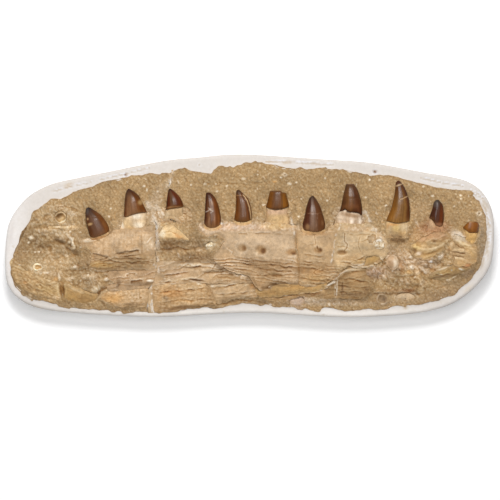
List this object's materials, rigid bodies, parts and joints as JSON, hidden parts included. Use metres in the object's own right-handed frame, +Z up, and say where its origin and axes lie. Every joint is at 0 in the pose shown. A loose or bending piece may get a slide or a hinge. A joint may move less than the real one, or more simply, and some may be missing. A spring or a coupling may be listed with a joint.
{
  "type": "fossil mosasaurus jaw",
  "caption": "Fossil mosasaur lower jaw with enamelled teeth, lying in sandy matrix in a white plaster jacket, for display on a table or shelf.",
  "frame": {"origin": "centre of the plaster jacket's outline, on the surface that it lies on", "axes": "+X along the jaw towards its tip, +Y the way the teeth point, +Z up out of the rock"},
  "size_m": [0.5864, 0.1957, 0.055],
  "materials": {
    "plaster": "matte",
    "rock": "matte",
    "filler": "matte",
    "bone": "matte",
    "tooth": "gloss",
    "shell": "satin"
  },
  "bodies": {
    "root": {"plaster_jacket": "plaster", "matrix_rear": "rock", "matrix_front": "rock", "break_filler": "filler", "tooth_01": "tooth", "tooth_02": "tooth", "tooth_03": "tooth", "tooth_04": "tooth", "tooth_05": "tooth", "tooth_06": "tooth", "tooth_07": "tooth", "tooth_08": "tooth", "tooth_09": "tooth", "tooth_10": "tooth", "tooth_11": "tooth", "pebble_dome": "shell", "pebble_cream": "shell", "white_nodule": "shell", "shell_cup": "shell", "shell_ring": "shell", "shell_bowl": "shell", "spine_rod": "bone", "pale_slab_1": "bone", "pale_slab_2": "bone", "olive_chip": "bone", "front_chip": "bone", "bone_wedge": "bone", "socket_bone_03": "bone", "dentary_rear": "bone", "dentary_main_1": "bone", "dentary_main_2": "bone", "dentary_main_3": "bone", "dentary_front": "bone", "dentary_tip": "bone", "tip_bar": "bone", "laminae_rear": "bone", "laminae_middle": "bone", "laminae_golden": "bone", "lower_bone_rear": "bone", "lower_bone_1": "bone", "lower_bone_2": "bone", "lower_bar_1": "bone", "lower_bar_2": "bone", "rear_slab_1": "bone", "rear_slab_2": "bone"}
  },
  "joints": []
}
